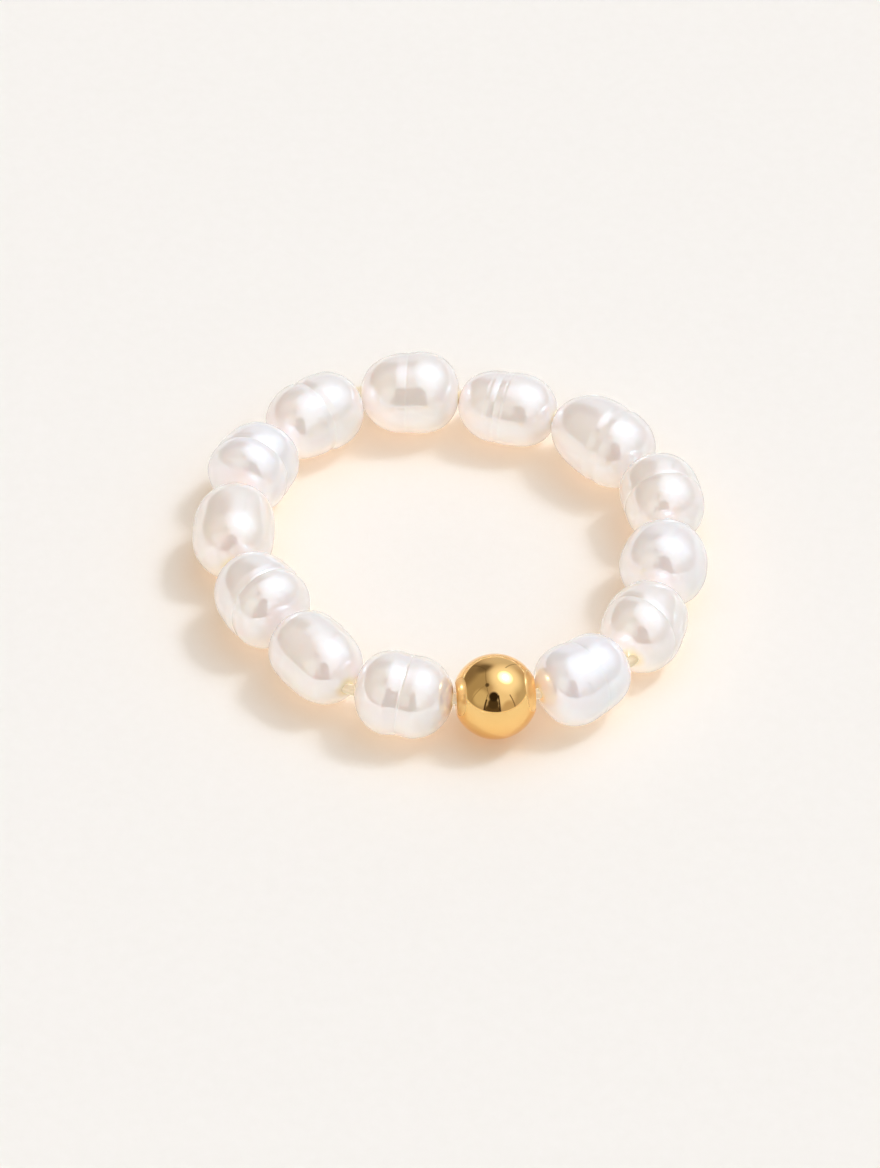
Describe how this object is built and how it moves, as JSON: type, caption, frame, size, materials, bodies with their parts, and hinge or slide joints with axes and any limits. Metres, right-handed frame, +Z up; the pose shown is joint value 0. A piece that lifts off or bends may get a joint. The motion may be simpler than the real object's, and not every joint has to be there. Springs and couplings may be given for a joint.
{
  "type": "pearl ring",
  "caption": "Stretch finger ring of off-round white pearls strung on clear elastic cord, with a polished gold ball among them, lying flat.",
  "frame": {"origin": "on the surface the ring lies on, under the middle of the ring's outline", "axes": "+Z up along the finger opening, -Y towards the gold ball"},
  "size_m": [0.0246, 0.0248, 0.0042],
  "materials": {
    "nacre": "natural nacre, high lustre",
    "polished_gold": "gold plated, mirror polished",
    "clear_elastic": "clear, slightly green"
  },
  "bodies": {
    "root": {"gold_ball": "polished_gold", "pearl_01": "nacre", "pearl_02": "nacre", "pearl_03": "nacre", "pearl_04": "nacre", "pearl_05": "nacre", "pearl_06": "nacre", "pearl_07": "nacre", "pearl_08": "nacre", "pearl_09": "nacre", "pearl_10": "nacre", "pearl_11": "nacre", "pearl_12": "nacre", "pearl_13": "nacre", "elastic_cord": "clear_elastic"}
  },
  "joints": []
}
